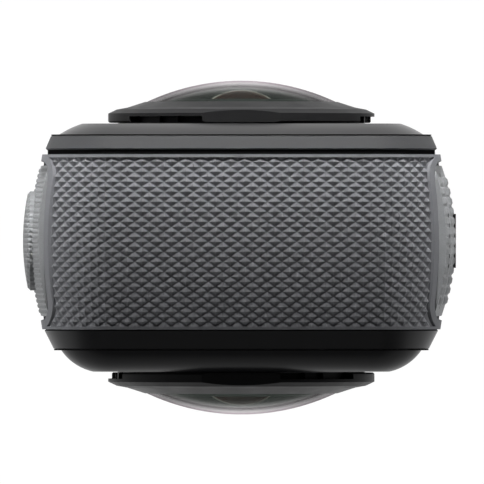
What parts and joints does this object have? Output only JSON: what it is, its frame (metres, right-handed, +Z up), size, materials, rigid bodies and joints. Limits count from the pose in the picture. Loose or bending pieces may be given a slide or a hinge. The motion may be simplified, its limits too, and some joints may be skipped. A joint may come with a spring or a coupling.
{
  "type": "360 degree camera",
  "caption": "Rugged box camera with a fisheye lens on each broad face, a barrel-shaped studded grip band, side pads with buttons and a hinged door, and fold-out mounting fingers.",
  "frame": {"origin": "middle of the foot, on the plane it stands on; the box centre of the body", "axes": "+Z up; the front lens looks along -Y, the back lens and the screen look along +Y; the buttons are at -X and the door is at +X"},
  "size_m": [0.064, 0.0491, 0.0693],
  "materials": {
    "grip_rubber": "matt, ribbed with small diamond studs",
    "pad_rubber": "matt, finely knurled",
    "chassis_metal": "satin die-cast magnesium",
    "bezel_plastic": "satin dark grey",
    "cover_plastic": "fine matt texture",
    "ring_plastic": "satin dark grey",
    "cone_plastic": "glossy black",
    "seal_rubber": "soft matt black",
    "dome_glass": "clear, coated",
    "barrel_black": "black anodised",
    "lens_glass": "polished, coated",
    "sensor_glass": "glossy, iridescent",
    "board_green": "solder mask",
    "heat_spreader": "brushed",
    "screen_glass": "black-backed glass, polished",
    "panel_black": "display panel",
    "button_plastic": "satin black",
    "switch_metal": "tinned steel",
    "latch_plastic": "satin black",
    "door_plastic": "matt black",
    "battery_plastic": "matt, bare",
    "contact_gold": "gold plated",
    "port_steel": "stamped",
    "card_plastic": "matt black",
    "pin_steel": "turned",
    "screw_steel": "blackened",
    "insert_brass": "machined",
    "finger_metal": "dark anodised",
    "speaker_black": "matt",
    "ceramic": "ceramic",
    "light_pipe": "frosted clear"
  },
  "bodies": {
    "camera": {"back_bezel": "bezel_plastic", "back_cover": "cover_plastic", "back_fisheye_glass": "lens_glass", "back_image_sensor": "sensor_glass", "back_lens_barrel": "barrel_black", "back_lens_mount": "cover_plastic", "back_rear_glass": "lens_glass", "back_seal": "seal_rubber", "back_sensor_board": "board_green", "base_screws": "screw_steel", "battery": "battery_plastic", "battery_bay": "cover_plastic", "battery_contacts": "contact_gold", "button_board": "board_green", "button_pad": "pad_rubber", "button_switches": "switch_metal", "card_slot": "port_steel", "chassis": "chassis_metal", "display_panel": "panel_black", "finger_pins": "pin_steel", "front_bezel": "bezel_plastic", "front_cover": "cover_plastic", "front_fisheye_glass": "lens_glass", "front_image_sensor": "sensor_glass", "front_lens_barrel": "barrel_black", "front_lens_mount": "cover_plastic", "front_rear_glass": "lens_glass", "front_sensor_board": "board_green", "gps_antenna": "ceramic", "grip_band": "grip_rubber", "heat_plate": "heat_spreader", "hinge_block": "pad_rubber", "hinge_pin": "pin_steel", "main_board": "board_green", "memory_card": "card_plastic", "microphones": "switch_metal", "mount_base": "cover_plastic", "port_board": "board_green", "port_panel": "cover_plastic", "speaker": "speaker_black", "status_lights": "light_pipe", "thread_insert": "insert_brass", "touch_glass": "screen_glass", "usb_c_port": "port_steel"},
    "front_lens": {"front_lens_ring": "ring_plastic", "front_dome_cone": "cone_plastic", "front_dome_seal": "seal_rubber", "front_dome_glass": "dome_glass"},
    "back_lens": {"back_lens_ring": "ring_plastic", "back_dome_cone": "cone_plastic", "back_dome_seal": "seal_rubber", "back_dome_glass": "dome_glass"},
    "shutter_button": {"shutter_button": "button_plastic"},
    "mode_button": {"mode_button": "button_plastic"},
    "door": {"door_panel": "door_plastic", "door_grip": "pad_rubber", "door_seal": "seal_rubber"},
    "door_latch": {"door_latch": "latch_plastic"},
    "left_finger": {"left_finger": "finger_metal"},
    "right_finger": {"right_finger": "finger_metal"}
  },
  "joints": [
    {"name": "front_lens_twist", "type": "hinge", "parent": "camera", "child": "front_lens", "pos_m": [0, -0.0181, 0.0425], "axis": [0, 1, 0], "range_deg": [0, 43]},
    {"name": "back_lens_twist", "type": "hinge", "parent": "camera", "child": "back_lens", "pos_m": [0, 0.01821, 0.0425], "axis": [0, -1, 0], "range_deg": [0, 43]},
    {"name": "shutter_press", "type": "slide", "parent": "camera", "child": "shutter_button", "axis": [1, 0, 0], "range_m": [0, 0.0005], "stiffness_N_per_m": 600, "springref_m": -0.0005},
    {"name": "mode_press", "type": "slide", "parent": "camera", "child": "mode_button", "axis": [1, 0, 0], "range_m": [0, 0.0005], "stiffness_N_per_m": 600, "springref_m": -0.0005},
    {"name": "door_open", "type": "hinge", "parent": "camera", "child": "door", "pos_m": [0.029, 0.00105, 0.0544], "axis": [0, -1, 0], "range_deg": [0, 95]},
    {"name": "door_latch_slide", "type": "slide", "parent": "door", "child": "door_latch", "axis": [0, 0, 1], "range_m": [0, 0.002]},
    {"name": "left_finger_fold", "type": "hinge", "parent": "camera", "child": "left_finger", "pos_m": [-0.0031, 0.00105, 0.0018], "axis": [0, -1, 0], "range_deg": [0, 90]},
    {"name": "right_finger_fold", "type": "hinge", "parent": "camera", "child": "right_finger", "pos_m": [0.0031, 0.00105, 0.0018], "axis": [0, 1, 0], "range_deg": [0, 90]}
  ]
}
